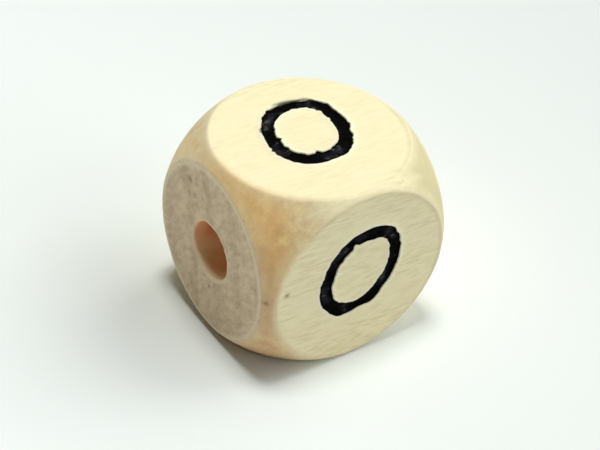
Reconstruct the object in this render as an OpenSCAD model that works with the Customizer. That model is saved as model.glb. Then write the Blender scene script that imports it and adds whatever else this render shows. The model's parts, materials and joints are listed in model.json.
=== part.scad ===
// Wooden cube bead, as sold for threading on a cord: a square maple stick, turned to a ball
// at its corners, cut off, drilled through and tumbled. A plain oval ring is pressed and
// inked on each of its four long-grain sides.
// The origin is the middle of the bore. +X runs along the bore and the grain, and +Z is up.

/* [Bead] */
// Distance across each pair of side flats
bead_side = 10; // [9.6:0.1:10.4]
// Length along the bore, from end flat to end flat
bead_length = 10.6; // [10.2:0.1:11.4]
// Width of the turned band that is left between two neighbouring side flats
edge_band = 0.2; // [0.2:0.05:0.8]
// Width that tumbling has worn off the rim of each flat
rim_ease = 0.08; // [0.04:0.01:0.09]

/* [Bore] */
// Diameter of the hole for the cord
bore_d = 3; // [2:0.1:4]
// Width of the worn edge round each mouth of the hole
mouth_ease = 0.14; // [0.05:0.01:0.3]

/* [Ring mark] */
// Length of the oval ring over its outer edge
ring_long = 5.2; // [4.6:0.1:6]
// Width of the oval ring over its outer edge
ring_short = 4.3; // [3.6:0.1:4.6]
// Width of the ring's stroke
ring_stroke = 0.64; // [0.4:0.02:0.9]
// Lean of the oval's long axis to the right of upright, in degrees
ring_lean = 35; // [0:1:45]
// Height of the ring's centre above the centre of its flat
ring_rise = 0.45; // [0:0.05:0.6]
// Depth that the ring is pressed into the wood
ring_depth = 0.2; // [0.12:0.01:0.3]
// Depth of the ink's surface below the flat
ink_recess = 0.05; // [0.02:0.01:0.08]

/* [Hidden] */
$fn = 96;

half_side = bead_side / 2;
half_length = bead_length / 2;
bore_r = bore_d / 2;
// Radius of the ball, from the rim of a side flat
side_rim_r = half_side - edge_band / sqrt(2);
ball_r = sqrt(half_side ^ 2 + side_rim_r ^ 2);
// How far a cut runs past a face, so that it never ends flush with it
clear = 1;
maple = [0.93, 0.86, 0.69];
black_ink = [0.05, 0.05, 0.06];

// Two opposite flats at a distance from the middle, with eased rims.
// Each is the small end of a low cone, which leans half as far as the ball does at the rim.
module flat_pair(distance) {
    ball_lean = acos(distance / ball_r);
    flat_r = ball_r * sin(ball_lean) - rim_ease;
    spread = distance / tan(ball_lean / 2);
    for (end = [0, 1])
        mirror([0, 0, end])
            cylinder(h = distance, r1 = flat_r + spread, r2 = flat_r);
}

// The stick, turned to a ball between its three pairs of flats
module turned_blank() {
    intersection() {
        sphere(r = ball_r);
        rotate([0, 90, 0]) flat_pair(half_length);
        rotate([90, 0, 0]) flat_pair(half_side);
        flat_pair(half_side);
    }
}

// The hole for the cord, with its worn mouths
module cord_hole() {
    rotate([0, 90, 0]) {
        cylinder(h = bead_length + 2 * clear, r = bore_r, center = true);
        for (end = [0, 1])
            mirror([0, 0, end])
                translate([0, 0, half_length - mouth_ease])
                    cylinder(h = mouth_ease + clear, r1 = bore_r, r2 = bore_r + mouth_ease + clear);
    }
}

// An ellipse of that length along Y and width along X
module oval(length, width) {
    scale([1, length / width]) circle(d = width);
}

// The ring's outline on a flat, leaning and raised as it is pressed
module ring_outline() {
    translate([0, ring_rise])
        rotate(-ring_lean)
            difference() {
                oval(ring_long, ring_short);
                oval(ring_long - 2 * ring_stroke, ring_short - 2 * ring_stroke);
            }
}

// A ring on each of the four sides, between two heights over the flat.
// The stick is turned a quarter about the bore from one pressing to the next.
module rings(low, high) {
    for (turn = [0 : 90 : 270])
        rotate([turn, 0, 0])
            translate([0, 0, half_side + low])
                linear_extrude(high - low) ring_outline();
}

module bead() {
    color(maple)
        difference() {
            turned_blank();
            cord_hole();
            rings(-ring_depth, clear);
        }
}

module ink_rings() {
    color(black_ink) rings(-ring_depth, -ink_recess);
}

bead();
ink_rings();
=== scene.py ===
"""A wooden cube bead with pressed and inked oval rings, on a pale floor in soft studio light.

The bead is modelled in millimetres, as on a bench, and each finished piece is brought to
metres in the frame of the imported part.
"""

import json
import logging
import math
from collections.abc import Callable, Sequence
from dataclasses import dataclass, field
from enum import Enum
from typing import Any

import bpy
import numpy as np
from mathutils import Matrix, Vector, noise


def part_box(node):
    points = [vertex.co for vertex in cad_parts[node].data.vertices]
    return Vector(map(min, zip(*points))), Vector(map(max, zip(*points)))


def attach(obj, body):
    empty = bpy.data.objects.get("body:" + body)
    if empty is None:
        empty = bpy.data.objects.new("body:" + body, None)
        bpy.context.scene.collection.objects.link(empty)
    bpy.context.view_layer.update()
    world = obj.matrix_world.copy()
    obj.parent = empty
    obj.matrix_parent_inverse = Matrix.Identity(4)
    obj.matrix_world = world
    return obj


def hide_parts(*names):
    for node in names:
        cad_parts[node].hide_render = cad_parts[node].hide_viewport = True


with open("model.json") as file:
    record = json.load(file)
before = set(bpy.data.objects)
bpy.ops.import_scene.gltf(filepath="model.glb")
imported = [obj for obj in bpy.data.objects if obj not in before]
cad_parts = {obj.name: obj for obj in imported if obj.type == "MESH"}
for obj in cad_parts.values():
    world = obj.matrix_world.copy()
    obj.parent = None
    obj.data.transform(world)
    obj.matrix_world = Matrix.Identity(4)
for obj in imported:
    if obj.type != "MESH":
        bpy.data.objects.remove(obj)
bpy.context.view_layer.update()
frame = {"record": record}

log = logging.getLogger("bead")

MM = 0.001
PER_M = 1000.0
SOFTLY = {"interpolation_type": "SMOOTHSTEP"}

# Short names for Blender's own types.
Piece = bpy.types.Object
Tree = bpy.types.NodeTree
Output = bpy.types.NodeSocket


class Side(Enum):
    """The four long-grain sides, by the quarter turns about the bore that bring each one up."""

    TOP = 0
    FRONT = 1
    BOTTOM = 2
    BACK = 3

    @property
    def turn(self) -> Matrix:
        """The turn about the bore that takes the top's place to this side's."""
        return Matrix.Rotation(math.radians(90 * self.value), 3, "X")


def srgb(hex_colour: str) -> tuple[float, float, float, float]:
    """Turns a written colour to the linear one that the nodes need.

    Args:
        hex_colour: six hex digits, such as "F2E3C2".

    Returns:
        Linear red, green and blue, and an alpha of 1.
    """
    parts = [int(hex_colour[i : i + 2], 16) / 255 for i in (0, 2, 4)]
    linear = [c / 12.92 if c <= 0.04045 else ((c + 0.055) / 1.055) ** 2.4 for c in parts]
    return (*linear, 1.0)


def smooth_step(low: float, high: float, value: np.ndarray) -> np.ndarray:
    """A soft step from 0 at low to 1 at high."""
    t = np.clip((value - low) / (high - low), 0.0, 1.0)
    return t * t * (3 - 2 * t)


def select_only(obj: Piece) -> None:
    """Deselects everything, then selects one object and makes it active.

    Args:
        obj: the object to select.
    """
    bpy.ops.object.select_all(action="DESELECT")
    obj.select_set(True)
    bpy.context.view_layer.objects.active = obj


def new_piece(name: str, add: Callable[..., Any], **settings: Any) -> Piece:
    """Adds a primitive and names it.

    Args:
        name: the piece's name.
        add: the operator that adds the primitive.
        settings: what the operator is given.

    Returns:
        The new object, alone in the selection.
    """
    bpy.ops.object.select_all(action="DESELECT")
    add(**settings)
    piece = bpy.context.view_layer.objects.active
    piece.name = piece.data.name = name
    return piece


def finish_with(piece: Piece, kind: str, **settings: Any) -> None:
    """Adds a modifier to a piece and applies it.

    Args:
        piece: the object to change.
        kind: the modifier's type.
        settings: the modifier's own properties.
    """
    select_only(piece)
    modifier = piece.modifiers.new(kind.lower(), kind)
    for name, value in settings.items():
        setattr(modifier, name, value)
    bpy.ops.object.modifier_apply(modifier=modifier.name)


def cut_with(piece: Piece, tool: Piece, operation: str) -> None:
    """Cuts a piece with a closed tool, and takes the tool away.

    Args:
        piece: the object to cut.
        tool: the closed mesh that cuts it.
        operation: DIFFERENCE, INTERSECT or UNION.
    """
    finish_with(piece, "BOOLEAN", object=tool, operation=operation, solver="EXACT")
    bpy.data.objects.remove(tool)


def points_of(piece: Piece) -> np.ndarray:
    """Reads where the piece's vertices are.

    Args:
        piece: the object to read.

    Returns:
        The vertices' places, one row each.
    """
    flat = np.empty(len(piece.data.vertices) * 3)
    piece.data.vertices.foreach_get("co", flat)
    return flat.reshape(-1, 3)


def normals_of(piece: Piece) -> np.ndarray:
    """Reads which way the piece's surface faces at its vertices.

    Args:
        piece: the object to read.

    Returns:
        The vertex normals, one row each.
    """
    flat = np.empty(len(piece.data.vertices) * 3)
    piece.data.vertices.foreach_get("normal", flat)
    return flat.reshape(-1, 3)


def move_points(piece: Piece, places: np.ndarray) -> None:
    """Puts the piece's vertices at new places, one row each."""
    piece.data.vertices.foreach_set("co", places.ravel())
    piece.data.update()


def grain_noise(places: np.ndarray, stretch: Sequence[float], seed: float) -> np.ndarray:
    """Smooth noise at each place, between about -1 and 1.

    Args:
        places: points in millimetres, one row each.
        stretch: how many features there are in a millimetre along X, Y and Z.
        seed: moves the pattern, so that two patterns differ.

    Returns:
        One value for each point.
    """
    scaled = places * np.array(stretch) + seed
    return np.array([noise.noise(Vector(row)) for row in scaled.tolist()])


def paint_points(piece: Piece, name: str, channels: Sequence[np.ndarray]) -> None:
    """Stores up to four values from 0 to 1 on each vertex, for the finish to read.

    Args:
        piece: the object to paint.
        name: the attribute's name.
        channels: red, green, blue and alpha, each with one value for each vertex.
    """
    count = len(piece.data.vertices)
    values = np.zeros((count, 4))
    for i, channel in enumerate(channels):
        values[:, i] = channel
    layer = piece.data.color_attributes.new(name, "FLOAT_COLOR", "POINT")
    layer.data.foreach_set("color", values.ravel())


def to_frame(piece: Piece) -> None:
    """Brings a finished piece from millimetres to metres, with its place in its mesh.

    Args:
        piece: the object to bring over.
    """
    select_only(piece)
    piece.scale = (MM, MM, MM)
    bpy.ops.object.transform_apply(location=True, rotation=True, scale=True)


def add_node(
    tree: Tree,
    kind: str,
    sockets: dict[str | int, Any] | None = None,
    **settings: Any,
) -> bpy.types.Node:
    """Adds one node with its settings and links.

    Args:
        tree: the node tree to add it to.
        kind: the node's type.
        sockets: for each input, by name or number, a value or the output that feeds it.
        settings: the node's own properties.

    Returns:
        The new node.
    """
    node = tree.nodes.new(kind)
    for name, value in settings.items():
        setattr(node, name, value)
    for name, value in (sockets or {}).items():
        if isinstance(value, Output):
            tree.links.new(value, node.inputs[name])
        else:
            node.inputs[name].default_value = value
    return node


def new_material(name: str) -> tuple[bpy.types.Material, Tree]:
    """Makes an empty node material.

    Args:
        name: what the material is.

    Returns:
        The material and its node tree.
    """
    material = bpy.data.materials.new(name)
    material.use_nodes = True
    material.node_tree.nodes.clear()
    return material, material.node_tree


@dataclass(frozen=True)
class Fade:
    """How something comes in softly with a value.

    Attributes:
        starts: the value at which it starts to show.
        full: the value at which it shows in full.
        most: how much then shows.
        least: how much shows before it starts.
    """

    starts: float
    full: float
    most: float = 1.0
    least: float = 0.0

    def over(self, value: Output) -> dict[str, Any]:
        """The sockets of a soft map range node that reads the value."""
        ends = {"From Min": self.starts, "From Max": self.full}
        return {"Value": value, **ends, "To Min": self.least, "To Max": self.most}


@dataclass(frozen=True)
class Pattern:
    """An uneven natural pattern, by the real size of its features and how far it shows.

    Attributes:
        step_mm: how far it is from one feature to the next along X, Y and Z.
        fade: how it comes in with the noise.
        detail: how many finer patterns lie in it.
        crispness: how strong the finer patterns are.
        turn: how far it is turned about the grain, in degrees.
    """

    step_mm: tuple[float, float, float]
    fade: Fade = Fade(0.0, 1.0)
    detail: float = 2.0
    crispness: float = 0.5
    turn: float = 0.0

    def noise(self, tree: Tree, in_mm: Output) -> Output:
        """Makes the bare noise.

        Args:
            tree: the node tree.
            in_mm: coordinates in millimetres.

        Returns:
            The noise's output, from 0 to 1 and mostly near 0.5.
        """
        turned = (math.radians(self.turn), 0.0, 0.0)
        sockets = {"Vector": in_mm, "Rotation": turned, "Scale": self.step_mm}
        vector = add_node(tree, "ShaderNodeMapping", sockets, vector_type="TEXTURE").outputs[0]
        fineness = {"Scale": 1.0, "Detail": self.detail, "Roughness": self.crispness}
        return add_node(tree, "ShaderNodeTexNoise", {"Vector": vector, **fineness}).outputs["Fac"]

    def build(self, tree: Tree, in_mm: Output) -> Output:
        """Makes the pattern as it shows.

        Args:
            tree: the node tree.
            in_mm: coordinates in millimetres.

        Returns:
            The pattern's output, how much of it shows.
        """
        sockets = self.fade.over(self.noise(tree, in_mm))
        return add_node(tree, "ShaderNodeMapRange", sockets, **SOFTLY).outputs[0]


# Maple, the pale hardwood of which such beads are turned: sawn flats, ends cut across the
# fibres, corners turned on a lathe, a drilled hole, and no coat. To the eye it is nearly matt.
# The flats are pale with faint streaks along the grain, the ends are duller with fine pores,
# and the corners are mottled and warm where the tool tore and heated the fibres.
@dataclass(frozen=True)
class MapleFinish:
    """Bare maple, sawn, turned, drilled and tumbled, with no coat.

    The growth rings have their real spacing. Maple's fibres are about 0.02 mm wide and its
    pores about 0.08 mm, too fine to show in the render, so both are drawn coarser, by their
    steps below.
    """

    side_pale: str = "FBF0C8"
    side_streak: str = "DFCB9C"
    end_pale: str = "EFD8B5"
    end_dark: str = "C6AB87"
    turned_pale: str = "FAE4AC"
    turned_dark: str = "C19469"
    turned_rosy: str = "E2B389"
    turned_warm: str = "DFA166"
    turned_bright: str = "FFC878"
    turned_clean: str = "D0C69C"
    # Painted highlight along the rims and the hole's mouths.
    worn: str = "FDE9C9"
    # Painted highlight just outside each stroke, along the raised lip.
    lip: str = "FFF8E2"
    # The hole's painted light and shade: pale where light falls on the lower wall near the mouth,
    # darker and redder deep in and on the upper half.
    drilled: str = "FFF0C0"
    drilled_in_shade: str = "EE7830"
    pore: str = "6E5638"
    stain: str = "3A3814"
    roughness: float = 0.62
    relief_mm: float = 0.02
    relief_strength: float = 0.35
    streak_share: float = 0.58
    side_ring_share: float = 0.15
    end_ring_share: float = 0.7
    ring_spacing_mm: float = 2.0
    pith_mm: tuple[float, float, float] = (0.0, -22.0, 5.0)
    pith_slant: float = 0.06
    ring_waver: float = 2.2
    ring_fade: Fade = Fade(0.45, 1.0, 0.35)
    fibres: Pattern = Pattern((0.8333, 0.16, 0.16), Fade(0.36, 0.72), 3.0, 0.6)
    fibre_clouds: Pattern = Pattern((2.857, 1.111, 1.111), Fade(0.10, 0.62))
    sawn_radially: Fade = Fade(3.6, 4.9, 1.0, 0.45)
    flecks: Pattern = Pattern((1.0, 0.36, 0.72), Fade(0.28, 0.74, 0.80), 4.0, 0.7, 45.0)
    pore_spacing_mm: float = 0.30
    pore_length: float = 9.0
    pore_dot: Fade = Fade(0.24, 0.10)
    pore_patches: Pattern = Pattern((2.0, 0.4, 0.4), Fade(0.42, 0.66))
    pore_on_side: float = 0.08
    pore_on_end: float = 0.45
    fine_mottle: Pattern = Pattern((0.6, 0.6, 0.6), Fade(0.32, 0.68, 0.60), 4.0, 0.65)
    broad_mottle: Pattern = Pattern((1.818, 1.818, 1.818), Fade(0.36, 0.64, 0.40))
    blush: Pattern = Pattern((1.111, 1.111, 1.111), Fade(0.42, 0.68, 0.55), 3.0, 0.6)
    near_end: Fade = Fade(-3.0, -4.7, 0.50)
    high_up: Fade = Fade(0.0, 3.5)
    clean: Fade = Fade(-3.6, -1.4, 0.90)

    def build(self) -> bpy.types.Material:
        """Makes the material.

        Returns:
            The material, which reads Object coordinates and the bead's painted points.
        """
        material, tree = new_material("maple")
        places = add_node(tree, "ShaderNodeTexCoord").outputs["Object"]
        sockets = {"Vector": places, "Scale": (PER_M, PER_M, PER_M)}
        in_mm = add_node(tree, "ShaderNodeMapping", sockets).outputs[0]
        skin = add_node(tree, "ShaderNodeAttribute", attribute_name="skin").outputs
        marks = add_node(tree, "ShaderNodeAttribute", attribute_name="marks").outputs
        across, turned, worn = add_node(tree, "ShaderNodeSeparateColor", {0: skin["Color"]}).outputs
        stain, pit, lip = add_node(tree, "ShaderNodeSeparateColor", {0: marks["Color"]}).outputs
        streaks = self.streaks(tree, in_mm)
        pores = self.pores(tree, in_mm, across)
        shares = self.shares(tree, in_mm, streaks)

        # Each row: what it makes, how much of the upper colour shows, the lower and the upper.
        layers = (
            ("side", shares["side"], self.side_pale, self.side_streak),
            ("end", shares["end"], self.end_pale, self.end_dark),
            ("warm", shares["high_up"], self.turned_warm, self.turned_bright),
            ("corner", shares["mottle"], self.turned_pale, self.turned_dark),
            ("corner", shares["blush"], "corner", self.turned_rosy),
            ("corner", shares["near_end"], "corner", "warm"),
            ("corner", shares["clean"], "corner", self.turned_clean),
            # Painted light and shade in the hole: pale near the lower mouth, darker and redder deep
            # in and on the upper half.
            ("hole", marks["Alpha"], self.drilled, self.drilled_in_shade),
            ("bead", across, "side", "end"),
            ("bead", turned, "bead", "corner"),
            ("bead", pores, "bead", self.pore),
            # Painted highlight along the rims and the hole's mouths.
            ("bead", worn, "bead", self.worn),
            ("bead", skin["Alpha"], "bead", "hole"),
            # Painted highlight just outside each stroke, along the raised lip.
            ("bead", lip, "bead", self.lip),
            ("bead", stain, "bead", self.stain),
            ("bead", pit, "bead", self.pore),
        )
        made: dict[str, Output] = {}
        for name, share, lower, upper in layers:
            below, above = (made[c] if c in made else srgb(c) for c in (lower, upper))
            sockets = {0: share, 6: below, 7: above}
            made[name] = add_node(tree, "ShaderNodeMix", sockets, data_type="RGBA").outputs[2]

        sockets = {0: streaks, 1: 0.5}
        raised = add_node(tree, "ShaderNodeMath", sockets, operation="MULTIPLY").outputs[0]
        sockets = {0: raised, 1: pores}
        height = add_node(tree, "ShaderNodeMath", sockets, operation="SUBTRACT").outputs[0]
        sockets = {
            "Strength": self.relief_strength,
            "Distance": self.relief_mm * MM,
            "Height": height,
        }
        relief = add_node(tree, "ShaderNodeBump", sockets).outputs[0]
        sockets = {"Base Color": made["bead"], "Roughness": self.roughness, "Normal": relief}
        shader = add_node(tree, "ShaderNodeBsdfPrincipled", sockets)
        add_node(tree, "ShaderNodeOutputMaterial", {0: shader.outputs[0]})
        return material

    def shares(self, tree: Tree, in_mm: Output, streaks: Output) -> dict[str, Output]:
        """Makes what tells how much of each colour shows.

        Args:
            tree: the node tree.
            in_mm: coordinates in millimetres.
            streaks: the output of the fibres' streaks.

        Returns:
            An output for each of side, end, mottle, blush, near_end, high_up and clean.
        """
        along, _, up = add_node(tree, "ShaderNodeSeparateXYZ", {0: in_mm}).outputs
        rings = self.growth_rings(tree, in_mm)
        flecks = self.flecks.build(tree, in_mm)
        sockets = {0: streaks, 1: self.streak_share}
        faint = add_node(tree, "ShaderNodeMath", sockets, operation="MULTIPLY").outputs[0]
        shares = {"blush": self.blush.build(tree, in_mm)}
        for name, ring_share, rest in (
            ("side", self.side_ring_share, faint),
            ("end", self.end_ring_share, flecks),
        ):
            sockets = {0: rings, 1: ring_share, 2: rest}
            both = add_node(tree, "ShaderNodeMath", sockets, operation="MULTIPLY_ADD")
            shares[name] = both.outputs[0]
        fine, broad = (p.build(tree, in_mm) for p in (self.fine_mottle, self.broad_mottle))
        mottle = add_node(tree, "ShaderNodeMath", {0: fine, 1: broad}, operation="ADD")
        shares["mottle"] = mottle.outputs[0]
        for name, fade, value in (
            ("near_end", self.near_end, along),
            ("clean", self.clean, along),
            ("high_up", self.high_up, up),
        ):
            node = add_node(tree, "ShaderNodeMapRange", fade.over(value), **SOFTLY)
            shares[name] = node.outputs[0]
        return shares

    def growth_rings(self, tree: Tree, in_mm: Output) -> Output:
        """Makes growth rings about a pith that runs along the grain, well outside the bead.

        Args:
            tree: the node tree.
            in_mm: coordinates in millimetres.

        Returns:
            The output that is high in the dark late wood of each ring.
        """
        slant = (self.pith_slant, 1.0, 1.0)
        sockets = {"Vector": in_mm, "Location": self.pith_mm, "Scale": slant}
        from_pith = add_node(tree, "ShaderNodeMapping", sockets).outputs[0]
        # Blender's wave runs through 20 radians in a unit, and a ring is one full turn of it.
        scale = 2 * math.pi / (20 * self.ring_spacing_mm)
        waver = {"Distortion": self.ring_waver, "Detail": 2.0, "Detail Scale": 0.6}
        sockets = {"Vector": from_pith, "Scale": scale, **waver}
        wave = add_node(tree, "ShaderNodeTexWave", sockets, wave_type="RINGS", rings_direction="X")
        sockets = self.ring_fade.over(wave.outputs["Fac"])
        return add_node(tree, "ShaderNodeMapRange", sockets, **SOFTLY).outputs[0]

    def streaks(self, tree: Tree, in_mm: Output) -> Output:
        """Makes short fine fibres along the grain, stronger in some places than in others.

        The front and the back were sawn along the growth rings' radius, so there the fibres
        show more than on the top and the bottom.

        Args:
            tree: the node tree.
            in_mm: coordinates in millimetres.

        Returns:
            The output that is high in a fibre.
        """
        aside = add_node(tree, "ShaderNodeSeparateXYZ", {0: in_mm}).outputs["Y"]
        off = add_node(tree, "ShaderNodeMath", {0: aside}, operation="ABSOLUTE").outputs[0]
        sockets = self.sawn_radially.over(off)
        strength = add_node(tree, "ShaderNodeMapRange", sockets, **SOFTLY).outputs[0]
        for pattern in (self.fibre_clouds, self.fibres):
            sockets = {0: strength, 1: pattern.build(tree, in_mm)}
            strength = add_node(tree, "ShaderNodeMath", sockets, operation="MULTIPLY").outputs[0]
        return strength

    def pores(self, tree: Tree, in_mm: Output, cut_across: Output) -> Output:
        """Makes the wood's vessels: dots on the ends, and hardly seen lines on the sides.

        Args:
            tree: the node tree.
            in_mm: coordinates in millimetres.
            cut_across: the output that tells how far the fibres are cut across.

        Returns:
            The output that is high in a pore.
        """
        apart = self.pore_spacing_mm
        sockets = {"Vector": in_mm, "Scale": (apart * self.pore_length, apart, apart)}
        vector = add_node(tree, "ShaderNodeMapping", sockets, vector_type="TEXTURE").outputs[0]
        cells = add_node(tree, "ShaderNodeTexVoronoi", {"Vector": vector, "Scale": 1.0})
        sockets = self.pore_dot.over(cells.outputs["Distance"])
        dots = add_node(tree, "ShaderNodeMapRange", sockets, **SOFTLY).outputs[0]
        sockets = {0: dots, 1: self.pore_patches.build(tree, in_mm)}
        both = add_node(tree, "ShaderNodeMath", sockets, operation="MULTIPLY").outputs[0]
        sockets = {0: cut_across, 1: self.pore_on_end, 2: self.pore_on_side}
        seen = add_node(tree, "ShaderNodeMath", sockets, operation="MULTIPLY_ADD").outputs[0]
        sockets = {0: both, 1: seen}
        return add_node(tree, "ShaderNodeMath", sockets, operation="MULTIPLY").outputs[0]


# Black stamping ink, rolled on a hot die, pressed into the wood and dried. To the eye it is
# deep black and matt, with a faint painted sheen, a lighter colour in patches down the middle
# of the stroke, and wood showing through thin spots.
@dataclass(frozen=True)
class InkFinish:
    """Black stamping ink, dried in a pressed groove as a thin uneven skin."""

    black: str = "030202"
    # Painted sheen: a lighter colour in patches down the middle of the stroke.
    sheen: str = "24252E"
    bare: str = "86786C"
    bare_share: float = 0.35
    roughness: float = 0.55
    gloss: float = 0.01
    relief_mm: float = 0.03
    relief_strength: float = 0.6
    crust: Pattern = Pattern((1 / 3, 0.2, 0.2), Fade(0.54, 0.68), 3.0, 0.6)
    patches: Pattern = Pattern((1.1, 1.1, 1.1))
    sheen_patches: Fade = Fade(0.42, 0.64)
    thin: Fade = Fade(0.46, 0.62)
    off_edge: Fade = Fade(0.85, 0.20)

    def build(self) -> bpy.types.Material:
        """Makes the material.

        Returns:
            The material, which reads Object coordinates and how near the stroke's edge it is.
        """
        material, tree = new_material("stamping_ink")
        places = add_node(tree, "ShaderNodeTexCoord").outputs["Object"]
        sockets = {"Vector": places, "Scale": (PER_M, PER_M, PER_M)}
        in_mm = add_node(tree, "ShaderNodeMapping", sockets).outputs[0]
        film = add_node(tree, "ShaderNodeAttribute", attribute_name="film")
        edge = add_node(tree, "ShaderNodeSeparateColor", {0: film.outputs["Color"]}).outputs[0]
        crust = self.crust.noise(tree, in_mm)
        patches = self.patches.noise(tree, in_mm)
        colour: Any = srgb(self.black)
        for over, share, first, second in (
            (self.sheen, 1.0, (self.off_edge, edge), (self.sheen_patches, patches)),
            (self.bare, self.bare_share, (self.crust.fade, crust), (self.thin, patches)),
        ):
            shown: Any = share
            for fade, value in (first, second):
                part = add_node(tree, "ShaderNodeMapRange", fade.over(value), **SOFTLY).outputs[0]
                sockets = {0: part, 1: shown}
                shown = add_node(tree, "ShaderNodeMath", sockets, operation="MULTIPLY").outputs[0]
            sockets = {0: shown, 6: colour, 7: srgb(over)}
            colour = add_node(tree, "ShaderNodeMix", sockets, data_type="RGBA").outputs[2]
        sockets = {
            "Strength": self.relief_strength,
            "Distance": self.relief_mm * MM,
            "Height": crust,
        }
        bump = add_node(tree, "ShaderNodeBump", sockets)
        sockets = {
            "Base Color": colour,
            "Roughness": self.roughness,
            "Specular IOR Level": self.gloss,
            "Normal": bump.outputs[0],
        }
        shader = add_node(tree, "ShaderNodeBsdfPrincipled", sockets)
        add_node(tree, "ShaderNodeOutputMaterial", {0: shader.outputs[0]})
        return material


# White card, uncoated. To the eye it is even and dull.
@dataclass(frozen=True)
class FloorFinish:
    """Matt white card. The camera sees it lighter than it lights the bead."""

    card: str = "EBEDEC"
    seen: str = "FCFFFF"
    roughness: float = 0.9

    def build(self) -> bpy.types.Material:
        """Makes the material.

        Returns:
            The material, whose colour for the camera is the background's.
        """
        material, tree = new_material("white_card")
        path = add_node(tree, "ShaderNodeLightPath").outputs
        sockets = {0: path["Is Camera Ray"], 1: path["Is Glossy Ray"]}
        seen = add_node(tree, "ShaderNodeMath", sockets, operation="MAXIMUM").outputs[0]
        sockets = {0: seen, 6: srgb(self.card), 7: srgb(self.seen)}
        colour = add_node(tree, "ShaderNodeMix", sockets, data_type="RGBA").outputs[2]
        sockets = {"Color": colour, "Roughness": self.roughness}
        shader = add_node(tree, "ShaderNodeBsdfDiffuse", sockets)
        add_node(tree, "ShaderNodeOutputMaterial", {0: shader.outputs[0]})
        return material


@dataclass(frozen=True)
class Pull:
    """A place on a ring where one edge of the stroke, or its stain, reaches further.

    Attributes:
        at: how far round the ring it is, in degrees.
        edge: 1 for the outer edge and -1 for the inner one.
        reach: how much wider the stroke is there, in millimetres.
        fade: how far round the ring it fades, in degrees.
    """

    at: float
    edge: int
    reach: float
    fade: float


@dataclass
class OvalMark:
    """One oval ring, as it is pressed into a side.

    Lengths are in millimetres. The path runs round the middle of the stroke. The edges are
    torn in broad waves, frayed in fine ones, and have some loose bits that stand out.
    """

    side: Side
    pulls: tuple[Pull, ...] = ()
    stains: tuple[Pull, ...] = ()
    length: float = 5.2
    width: float = 4.3
    stroke: float = 0.64
    lean: float = math.radians(35)
    rise: float = 0.45
    tear: float = 1.0
    torn: float = 0.080
    frayed: float = 0.050
    loose: float = 0.30
    least_reach: float = 0.12
    steps: int = 256

    def path(self) -> tuple[np.ndarray, np.ndarray]:
        """The middle of the stroke, and the way out from it, on the side's plane.

        Returns:
            Points and unit vectors in two dimensions, one row for each step.
        """
        long = (self.length - self.stroke) / 2
        short = (self.width - self.stroke) / 2
        t = np.linspace(0.0, 2 * math.pi, self.steps, endpoint=False)
        points = np.column_stack([short * np.cos(t), long * np.sin(t)])
        out = np.column_stack([long * np.cos(t), short * np.sin(t)])
        out /= np.linalg.norm(out, axis=1)[:, None]
        c, s = math.cos(self.lean), math.sin(self.lean)
        leaning = np.array([[c, s], [-s, c]])
        return points @ leaning.T + [0.0, self.rise], out @ leaning.T

    def pulled(self, pulls: Sequence[Pull], edge: int) -> np.ndarray:
        """How far some pulls move an edge at each step.

        Args:
            pulls: the places where an edge reaches further.
            edge: 1 for the outer edge and -1 for the inner one.

        Returns:
            One distance for each step, in millimetres.
        """
        t = np.linspace(0.0, 360.0, self.steps, endpoint=False)
        total = np.zeros(self.steps)
        for pull in pulls:
            if pull.edge == edge:
                away = (t - pull.at + 180) % 360 - 180
                total += pull.reach * np.exp(-((away / pull.fade) ** 2))
        return total

    def edge_reach(self, edge: int) -> np.ndarray:
        """How far an edge of the stroke is from the path, with its torn fibres.

        Args:
            edge: 1 for the outer edge and -1 for the inner one.

        Returns:
            One distance for each step, in millimetres.
        """
        seed = 17.3 * self.side.value + 5.1 * edge
        points, _ = self.path()
        flat = np.column_stack([points, np.zeros(len(points))])
        torn = self.torn * grain_noise(flat, (1.3, 3.4, 1.0), seed + 31.7)
        frayed = self.frayed * grain_noise(flat, (4.0, 6.5, 1.0), seed + 62.9)
        bits = np.clip(grain_noise(flat, (2.4, 4.4, 1.0), seed + 93.1) - 0.2, 0.0, 1.0)
        ragged = self.tear * (torn + frayed + self.loose * bits)
        return np.maximum(self.stroke / 2 + self.pulled(self.pulls, edge) + ragged, self.least_reach)

    def bent_round(self, name: str, section: np.ndarray, rough: float = 0.0) -> Piece:
        """Bends a closed cross-section round the stroke's path.

        Args:
            name: the piece's name.
            section: for each point of the cross-section, how far it is across the stroke
                (-1 at the inner edge and 1 at the outer one), how much further out it is in
                millimetres, and its height over the side's flat in millimetres.
            rough: how far the heights vary, in millimetres.

        Returns:
            A closed ring that lies on its side of the bead, in millimetres.
        """
        ring = new_piece(
            name,
            bpy.ops.mesh.primitive_torus_add,
            major_segments=self.steps,
            minor_segments=len(section),
            major_radius=2.0,
            minor_radius=0.3,
        )
        middle, out = self.path()
        inner, outer = self.edge_reach(-1), self.edge_reach(1)
        rows = []
        for across, beyond, height in section:
            reach = across * (outer if across > 0 else inner) + beyond
            place = middle + out * reach[:, None]
            rows.append(np.column_stack([place, np.full(len(place), height)]))
        places = np.stack(rows, axis=1).reshape(-1, 3)
        if rough:
            top = np.tile(section[:, 2] > section[:, 2].min() + 0.02, self.steps)
            places[:, 2] += top * rough * grain_noise(places, (3.0, 6.0, 1.0), 7.7)
        places[:, 2] += BeadSizes.half_side
        move_points(ring, places @ np.array(self.side.turn).T)
        bpy.ops.object.mode_set(mode="EDIT")
        bpy.ops.mesh.select_all(action="SELECT")
        bpy.ops.mesh.normals_make_consistent(inside=False)
        bpy.ops.object.mode_set(mode="OBJECT")
        return ring


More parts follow.
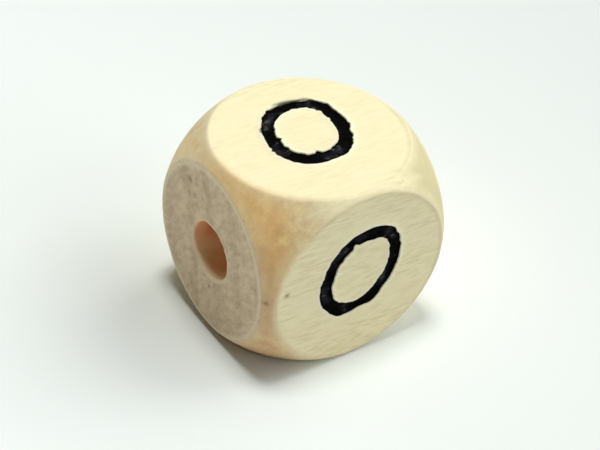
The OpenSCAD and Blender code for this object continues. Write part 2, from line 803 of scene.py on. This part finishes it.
class BeadSizes:
    """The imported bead's own sizes, in millimetres, read or worked out from the frame."""

    low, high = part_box("bead")
    half_length = high.x * PER_M
    half_side = high.z * PER_M
    bore = next(m for m in frame["record"]["mounts"] if m["name"] == "cord_hole")
    bore_r = bore["dims"]["r_mm"]
    edge_band = 0.2
    side_rim_r = half_side - edge_band / math.sqrt(2)
    ball_r = math.hypot(half_side, side_rim_r)
    press_depth = 0.2


@dataclass(frozen=True)
class Speck:
    """A small dark pit in the wood, with its place and radius in millimetres."""

    at: tuple[float, float, float]
    radius: float = 0.09
    depth: float = 0.8


@dataclass
class Bead:
    """The wooden bead: a square stick, turned to a ball at its corners, drilled and tumbled.

    Lengths are in millimetres. A relief is how high a kind of roughness stands, a highlight is
    how strong a painted highlight along a rim, a mouth or a raised lip is, and a pair is where a
    look starts and where it has ended.
    """

    marks: Sequence[OvalMark]
    specks: Sequence[Speck] = ()
    finish: MapleFinish = field(default_factory=MapleFinish)
    voxel: float = 0.1
    tumbling: int = 2
    grain_relief: float = 0.004
    torn_relief: float = 0.010
    wavy_relief: float = 0.025
    lip: float = 0.045
    lip_width: float = 0.16
    # How strong the painted highlight along the raised lip is.
    lip_highlight: float = 0.65
    turned_fade: float = 0.22
    crisp_fade: float = 0.08
    turned_waver: float = 0.06
    end_skin: tuple[float, float] = (0.02, 0.10)
    bore_skin: tuple[float, float] = (0.02, 0.12)
    # Where the painted highlight along the ends' rims, the flats' rims and the hole's mouths lies,
    # and how strong it is.
    rim_inset: float = 0.12
    rim_width: float = 0.12
    end_rim_highlight: float = 0.75
    mouth_outset: float = 0.06
    mouth_width: float = 0.08
    mouth_highlight: float = 0.5
    side_rim_width: float = 0.05
    side_rim_highlight: float = 0.40
    # How much painted shade the hole's upper half has, right up to its mouth.
    upper_wall_shade: float = 0.52
    mark_reach: float = 3.8
    mark_depth: float = 0.35
    far_off: float = 9.0

    def turn_blank(self) -> Piece:
        """Cuts the ball out of the stick.

        Returns:
            The blank, with its sharp rims.
        """
        blank = new_piece("bead_wood", bpy.ops.mesh.primitive_cube_add, size=2.0)
        bpy.ops.transform.resize(
            value=(BeadSizes.half_length, BeadSizes.half_side, BeadSizes.half_side)
        )
        bpy.ops.object.transform_apply(scale=True)
        ball = new_piece(
            "ball",
            bpy.ops.mesh.primitive_uv_sphere_add,
            segments=256,
            ring_count=128,
            radius=BeadSizes.ball_r,
        )
        cut_with(blank, ball, "INTERSECT")
        return blank

    def drill(self, blank: Piece) -> None:
        """Drills the hole for the cord along the grain.

        Args:
            blank: the turned blank.
        """
        drill = new_piece(
            "drill",
            bpy.ops.mesh.primitive_cylinder_add,
            vertices=128,
            radius=BeadSizes.bore_r,
            depth=3 * BeadSizes.half_length,
            rotation=(0.0, math.radians(90), 0.0),
        )
        cut_with(blank, drill, "DIFFERENCE")

    def tumble(self, blank: Piece) -> None:
        """Gives the blank an even skin and wears its rims and the hole's mouths.

        Args:
            blank: the drilled blank.
        """
        finish_with(blank, "REMESH", mode="VOXEL", voxel_size=self.voxel, use_smooth_shade=True)
        finish_with(blank, "SMOOTH", factor=0.5, iterations=self.tumbling)

    def weather(self, blank: Piece) -> None:
        """Moves the skin by the relief of grain, turning tool and die.

        Args:
            blank: the tumbled blank.
        """
        places = points_of(blank)
        skin = self.skin(places)
        grain = grain_noise(places, (0.2, 5.0, 5.0), 3.3) * (1 - skin["across"])
        torn = grain_noise(places, (2.6, 2.6, 2.6), 11.9)
        torn *= np.maximum(skin["turned"], 0.5 * skin["across"])
        wavy = grain_noise(places, (0.35, 0.35, 0.35), 23.5) * skin["turned"]
        lift = self.grain_relief * grain + self.torn_relief * torn + self.wavy_relief * wavy
        outside, _ = self.round_marks(places)
        lift += self.lip * np.exp(-((np.maximum(outside, 0.0) / self.lip_width) ** 2))
        move_points(blank, places + normals_of(blank) * lift[:, None])

    def press(self, blank: Piece) -> None:
        """Presses the rings into the four sides.

        Args:
            blank: the weathered blank.
        """
        # The die is a little wider at its root than at its face.
        section = np.array(
            [
                (-1.0, 0.02, -BeadSizes.press_depth),
                (-1.0, 0.0, -0.05),
                (-1.0, -0.03, 0.0),
                (-1.0, -0.2, 0.3),
                (1.0, 0.2, 0.3),
                (1.0, 0.03, 0.0),
                (1.0, 0.0, -0.05),
                (1.0, -0.02, -BeadSizes.press_depth),
            ]
        )
        for mark in self.marks:
            cut_with(blank, mark.bent_round("press", section), "DIFFERENCE")

    def round_marks(self, places: np.ndarray) -> tuple[np.ndarray, np.ndarray]:
        """Measures each place on a side against the edges of that side's stroke.

        Args:
            places: points in millimetres, one row each.

        Returns:
            How far each place is outside the stroke, in millimetres, and how far ink has
            crept out of the stroke beside it.
        """
        outside = np.full(len(places), self.far_off)
        stained = np.zeros(len(places))
        for mark in self.marks:
            local = places @ np.array(mark.side.turn)
            near = np.hypot(local[:, 0], local[:, 1]) < self.mark_reach
            near &= local[:, 2] > BeadSizes.half_side - self.mark_depth
            middle, out = mark.path()
            edges = {edge: mark.edge_reach(edge) for edge in (-1, 1)}
            stains = {edge: mark.pulled(mark.stains, edge) for edge in (-1, 1)}
            on_side = np.flatnonzero(near)
            for rows in np.array_split(on_side, len(on_side) // 4096 + 1):
                gaps = local[rows, None, :2] - middle[None, :, :]
                squares = (gaps**2).sum(axis=2)
                step = squares.argmin(axis=1)
                count = np.arange(len(rows))
                is_out = (gaps[count, step] * out[step]).sum(axis=1) > 0
                reach = np.where(is_out, edges[1][step], edges[-1][step])
                outside[rows] = np.sqrt(squares[count, step]) - reach
                stained[rows] = np.where(is_out, stains[1][step], stains[-1][step])
        return outside, stained

    def skin(self, places: np.ndarray) -> dict[str, np.ndarray]:
        """Tells how each place on the bead was cut.

        Args:
            places: points in millimetres, one row each.

        Returns:
            For each place, from 0 to 1: across (how far the fibres are cut across), turned
            (how much of the turned colour it has), worn (how strong the painted highlight
            along a rim or the hole's mouth is), bore (it is in the hole) and depth (how much of the
            hole's painted shade colour it has).
        """
        from_axis = np.hypot(places[:, 1], places[:, 2])
        from_middle = np.linalg.norm(places, axis=1)
        to_end = BeadSizes.half_length - np.abs(places[:, 0])
        to_side = BeadSizes.half_side - np.abs(places[:, 1:]).max(axis=1)
        to_flat = np.minimum(to_end, to_side)
        to_ball = BeadSizes.ball_r - from_middle
        on_end = 1 - smooth_step(*self.end_skin, to_end)
        top_back = smooth_step(-0.5, 2.0, places[:, 1]) * smooth_step(2.0, 4.5, places[:, 2])
        fade = self.turned_fade + (self.crisp_fade - self.turned_fade) * top_back
        uneven = self.turned_waver * grain_noise(places, (2.2, 2.2, 2.2), 57.1)
        turned = 1 - smooth_step(0.0, 1.0, (to_ball + uneven) / fade)
        turned *= np.where(on_end > 0.5, 1 - smooth_step(0.0, 0.05, to_ball), 1.0)
        slope = np.abs(places[:, 0]) / from_middle
        from_mouth = from_axis - BeadSizes.bore_r
        # Painted highlight: the rims of the ends and the flats and the hole's mouths are made paler
        # where they catch the light.
        mouth = np.exp(-(((from_mouth - self.mouth_outset) / self.mouth_width) ** 2)) * on_end
        end_rim_r = math.sqrt(BeadSizes.ball_r**2 - BeadSizes.half_length**2) - self.rim_inset
        end_rim = np.exp(-(((from_axis - end_rim_r) / self.rim_width) ** 2)) * on_end
        side_rim = np.exp(-((np.maximum(to_flat, to_ball) / self.side_rim_width) ** 2))
        side_rim *= (1 - on_end) * (self.side_rim_highlight + 0.50 * top_back)
        worn = self.end_rim_highlight * end_rim + side_rim + self.mouth_highlight * mouth
        return {
            "across": np.maximum(on_end, 0.5 * turned * slope**3),
            "turned": turned * self.left_by_tumbler(places, to_flat, top_back),
            "worn": np.clip(worn, 0.0, 1.0),
            "bore": (1 - smooth_step(*self.bore_skin, from_mouth)) * (1 - on_end),
            "depth": self.light_and_shade_in_hole(places, to_end),
        }

    def left_by_tumbler(
        self, places: np.ndarray, to_flat: np.ndarray, top_back: np.ndarray
    ) -> np.ndarray:
        """Tells how much of the turned colour the tumbler left.

        It rubbed the colour off beside the flats' rims, most at the back of the top, in the
        narrow bands where two flats nearly touch, low down and at the back.

        Args:
            places: points in millimetres, one row each.
            to_flat: how far each is from the nearest flat's plane.
            top_back: how far each is at the back of the top, from 0 to 1.

        Returns:
            The share that is left at each place.
        """
        x, y, z = places.T
        rubbed = 0.35 + 0.08 * smooth_step(-3.8, 1.4, x) + 0.35 * top_back
        left = 1 - rubbed * (1 - smooth_step(0.0, 0.55, to_flat))
        for share, where in (
            (0.80, smooth_step(4.0, 4.7, np.minimum(np.abs(y), np.abs(z)))),
            (0.22, smooth_step(1.5, -4.0, z)),
            (0.45, smooth_step(0.0, 3.5, y)),
        ):
            left *= 1 - share * where
        return left

    def light_and_shade_in_hole(self, places: np.ndarray, to_end: np.ndarray) -> np.ndarray:
        """Tells how much painted shade the hole's wall has, as a darker, redder colour that also
        stands in for the glow of light through the wood.

        The upper half is evenly shaded, and the lower half is painted light at its mouth and
        shaded deep in.

        Args:
            places: points in millimetres, one row each.
            to_end: how far each is from the nearer end's plane.

        Returns:
            The share of the painted shade colour at each place.
        """
        low = smooth_step(0.0, -0.8, places[:, 2] / BeadSizes.bore_r)
        ragged = 0.6 * grain_noise(places, (1.6, 1.6, 1.6), 12.7)
        deep = smooth_step(0.2, 2.4, to_end - 2.0 * low + ragged)
        warm = self.upper_wall_shade * (1 - low)
        return warm + (1 - warm) * deep

    def pits(self, places: np.ndarray) -> np.ndarray:
        """Tells where the small dark pits are, each at its own place.

        Args:
            places: points in millimetres, one row each.

        Returns:
            1 in the middle of a pit, falling to 0 round it.
        """
        dark = np.zeros(len(places))
        for pit in self.specks:
            away = np.linalg.norm(places - np.array(pit.at), axis=1)
            dark = np.maximum(dark, pit.depth * np.exp(-((away / pit.radius) ** 2)))
        return dark

    def paint(self, bead: Piece) -> None:
        """Stores how each place was cut, where ink and pits are, the painted highlights along the
        rims, mouths and raised lips, and the painted light and shade in the hole.

        Args:
            bead: the pressed bead.
        """
        places = points_of(bead)
        skin = self.skin(places)
        paint_points(bead, "skin", [skin[k] for k in ("across", "turned", "worn", "bore")])
        outside, stained = self.round_marks(places)
        streaky = grain_noise(places, (1.2, 6.0, 6.0), 41.3)
        creep = 0.03 + 0.04 * streaky
        wall = 1 - smooth_step(0.0, 1.0, outside / np.maximum(creep, 0.01))
        feather = (1 - smooth_step(0.2, 1.0, outside / np.maximum(stained, 0.01))) * (stained > 0.02)
        stain = np.clip(wall + feather * np.clip(0.95 + 1.3 * streaky, 0.0, 1.0), 0.0, 1.0)
        # Painted highlight: pale colour just outside each stroke, along the raised lip.
        lip = self.lip_highlight * np.exp(-(((outside - 0.11) / 0.09) ** 2))
        paint_points(bead, "marks", [stain, self.pits(places), lip, skin["depth"]])

    def build(self) -> Piece:
        """Makes the bead.

        Returns:
            The finished piece, riding on the part.
        """
        bead = self.turn_blank()
        self.drill(bead)
        self.tumble(bead)
        self.weather(bead)
        self.press(bead)
        self.paint(bead)
        select_only(bead)
        bpy.ops.object.shade_smooth_by_angle(angle=math.radians(40))
        to_frame(bead)
        bead.data.materials.clear()
        bead.data.materials.append(self.finish.build())
        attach(bead, "root")
        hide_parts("bead")
        return bead


@dataclass
class InkRings:
    """The ink in the four pressed rings. Lengths are in millimetres."""

    marks: Sequence[OvalMark]
    finish: InkFinish = field(default_factory=InkFinish)
    gap: float = 0.01
    climb: float = 0.012
    sag: float = 0.06
    crust: float = 0.02

    def section(self) -> np.ndarray:
        """Draws the dried ink's cross-section: it climbs the walls and sags in the middle.

        Returns:
            Its points, as OvalMark.bent_round needs them.
        """
        floor = self.gap - BeadSizes.press_depth
        top = [
            (s, self.climb * s if abs(s) == 1 else 0.0, -self.climb - self.sag * (1 - s * s))
            for s in np.linspace(1.0, -1.0, 11)
        ]
        return np.array([(-0.9, 0.0, floor), (0.9, 0.0, floor), *top])

    def build(self) -> Piece:
        """Makes the ink.

        Returns:
            The finished piece, riding on the part.
        """
        section = self.section()
        rings = [mark.bent_round("ink", section, rough=self.crust) for mark in self.marks]
        for ring, mark in zip(rings, self.marks):
            paint_points(ring, "film", [np.tile(np.abs(section[:, 0]), mark.steps)])
        bpy.ops.object.select_all(action="DESELECT")
        for ring in rings:
            ring.select_set(True)
        bpy.context.view_layer.objects.active = rings[0]
        bpy.ops.object.join()
        ink = bpy.context.view_layer.objects.active
        ink.name = ink.data.name = "dried_ink"
        bpy.ops.object.shade_smooth_by_angle(angle=math.radians(50))
        to_frame(ink)
        ink.data.materials.clear()
        ink.data.materials.append(self.finish.build())
        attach(ink, "root")
        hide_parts("ink_rings")
        return ink


@dataclass(frozen=True)
class Lamp:
    """A soft lamp far away, with the way to it and how wide it looks in degrees."""

    name: str
    towards: tuple[float, float, float]
    level: float
    spread: float
    colour: str


@dataclass
class Studio:
    """The floor, the lights and the camera.

    The camera's angles, distance and lens are those from which the photograph was taken.
    Lengths are in metres and angles in degrees.
    """

    azimuth: float = -37.04
    elevation: float = 39.4
    roll: float = 5.49
    distance: float = 0.0825
    lens_mm: float = 100.8
    aside: float = 0.00009
    down: float = 0.00035
    floor_size: float = 3.0
    lamps: tuple[Lamp, ...] = (
        Lamp("overhead", (-0.015, 0.050, 1.0), 0.490, 17.0, "FDFFF9"),
        Lamp("right", (0.707, 0.0, 0.707), 0.48, 50.0, "FDFFF9"),
        Lamp("near_right", (0.610, -0.610, 0.500), 0.318, 60.0, "FAFFFF"),
        Lamp("behind", (0.0, 0.788, 0.616), 0.09, 60.0, "FDFFF9"),
    )
    sky_level: float = 0.01
    backdrop_level: float = 0.97
    backdrop: str = "F6FFF8"
    sensor_mm: float = 36.0

    def lay_floor(self) -> None:
        """Lays the card that the bead stands on."""
        card = new_piece("floor", bpy.ops.mesh.primitive_plane_add, size=self.floor_size)
        card.location.z = -BeadSizes.half_side * MM
        bpy.ops.object.transform_apply(location=True)
        card.data.materials.append(FloorFinish().build())

    def light(self) -> None:
        """Sets the lamp overhead, the broad fills and the room's faint light."""
        scene = bpy.context.scene
        scene.world = bpy.data.worlds.new("room")
        scene.world.use_nodes = True
        tree = scene.world.node_tree
        tree.nodes.clear()
        path = add_node(tree, "ShaderNodeLightPath").outputs
        sockets = {0: path["Is Camera Ray"], 1: path["Is Glossy Ray"]}
        seen = add_node(tree, "ShaderNodeMath", sockets, operation="MAXIMUM").outputs[0]
        sockets = {"Value": seen, "To Min": self.sky_level, "To Max": self.backdrop_level}
        level = add_node(tree, "ShaderNodeMapRange", sockets).outputs[0]
        sockets = {"Color": srgb(self.backdrop), "Strength": level}
        sky = add_node(tree, "ShaderNodeBackground", sockets)
        add_node(tree, "ShaderNodeOutputWorld", {0: sky.outputs[0]})
        for lamp in self.lamps:
            light = bpy.data.lights.new(lamp.name, "SUN")
            light.energy = math.pi * lamp.level
            light.angle = math.radians(lamp.spread)
            light.color = srgb(lamp.colour)[:3]
            holder = bpy.data.objects.new(lamp.name, light)
            scene.collection.objects.link(holder)
            holder.rotation_mode = "QUATERNION"
            holder.rotation_quaternion = Vector(lamp.towards).to_track_quat("Z", "Y")

    def place_camera(self) -> None:
        """Stands the camera where the photograph's was."""
        a, e, r = (math.radians(x) for x in (self.azimuth, self.elevation, self.roll))
        back = Vector((math.sin(a) * math.cos(e), -math.cos(a) * math.cos(e), math.sin(e)))
        level = back.cross(Vector((0.0, 0.0, 1.0))).normalized() * -1
        up = back.cross(level)
        right = level * math.cos(r) + up * math.sin(r)
        over = up * math.cos(r) - level * math.sin(r)
        lens = bpy.data.cameras.new("camera")
        lens.lens = self.lens_mm
        lens.sensor_width = self.sensor_mm
        lens.clip_start, lens.clip_end = 0.001, 10.0
        camera = bpy.data.objects.new("camera", lens)
        bpy.context.scene.collection.objects.link(camera)
        place = self.distance * back - self.aside * right - self.down * over
        camera.matrix_world = Matrix((right, over, back)).transposed().to_4x4()
        camera.matrix_world.translation = place
        bpy.context.scene.camera = camera

    def build(self) -> None:
        """Sets up the whole studio."""
        bpy.context.scene.view_settings.view_transform = "Standard"
        self.lay_floor()
        self.light()
        self.place_camera()


# The marks and the pits of this bead, each with the places where it differs from its like.
MARKS = (
    OvalMark(
        Side.TOP,
        pulls=(
            Pull(348, 1, 0.16, 16),
            Pull(0, 1, 0.08, 4),
            Pull(328, 1, 0.17, 14),
            Pull(258, 1, -0.09, 22),
            Pull(205, 1, -0.20, 34),
            Pull(114, 1, -0.32, 24),
            Pull(132, 1, 0.04, 8),
            Pull(24, 1, 0.09, 8),
            Pull(36, 1, -0.05, 16),
            Pull(118, -1, 0.08, 26),
            Pull(215, -1, 0.16, 26),
            Pull(240, -1, 0.07, 9),
            Pull(272, -1, 0.20, 26),
            Pull(279, -1, -0.11, 8),
            Pull(301, -1, 0.22, 6),
            Pull(349, -1, -0.19, 23),
            Pull(48, -1, 0.04, 16),
        ),
        stains=(
            Pull(128, 1, 0.40, 12),
            Pull(92, 1, 0.36, 10),
            Pull(110, 1, 0.24, 12),
            Pull(186, 1, 0.18, 6),
            Pull(352, 1, 0.10, 6),
        ),
        tear=0.8,
    ),
    OvalMark(
        Side.FRONT,
        pulls=(
            Pull(55, 1, -0.12, 30),
            Pull(120, 1, -0.05, 24),
            Pull(20, 1, -0.06, 9),
            Pull(6, 1, -0.05, 6),
            Pull(332, 1, 0.15, 11),
            Pull(312, 1, -0.06, 7),
            Pull(285, 1, 0.12, 11),
            Pull(256, 1, -0.07, 10),
            Pull(205, 1, -0.07, 24),
            Pull(165, 1, 0.06, 26),
            Pull(50, -1, 0.05, 28),
            Pull(114, -1, 0.16, 16),
            Pull(149, -1, -0.20, 4),
            Pull(180, -1, -0.06, 18),
            Pull(204, -1, 0.04, 14),
            Pull(238, -1, 0.03, 12),
            Pull(304, -1, -0.05, 20),
            Pull(330, -1, -0.07, 20),
        ),
        tear=0.45,
    ),
    OvalMark(Side.BOTTOM, pulls=(Pull(250, 1, 0.10, 30), Pull(70, -1, -0.08, 30))),
    OvalMark(Side.BACK, pulls=(Pull(330, 1, 0.12, 26), Pull(150, 1, -0.10, 34))),
)
SPECKS = (
    Speck((-5.3, 1.97, 3.01), 0.15, 0.85),
    Speck((-5.3, 2.02, 2.20), 0.13, 0.60),
    Speck((-5.3, 1.48, 2.37), 0.13, 0.55),
    Speck((-5.3, 1.36, 3.10), 0.13, 0.40),
    Speck((-5.3, 0.76, 3.62), 0.16, 0.42),
    Speck((-5.3, 0.83, 2.65), 0.14, 0.50),
    Speck((-5.3, 1.27, 1.93), 0.13, 0.42),
    Speck((-5.3, -0.12, -2.11), 0.12, 0.80),
    Speck((-5.14, -4.7, 0.33), 0.11, 0.80),
    Speck((-4.2, -5.0, 0.63), 0.12, 0.85),
)


def main() -> None:
    """Builds the studio and the bead."""
    logging.basicConfig(level=logging.INFO, format="%(message)s")
    Studio().build()
    for piece in (Bead(MARKS, SPECKS).build(), InkRings(MARKS).build()):
        log.info("%s: %d faces", piece.name, len(piece.data.polygons))


if __name__ == "__main__":
    main()
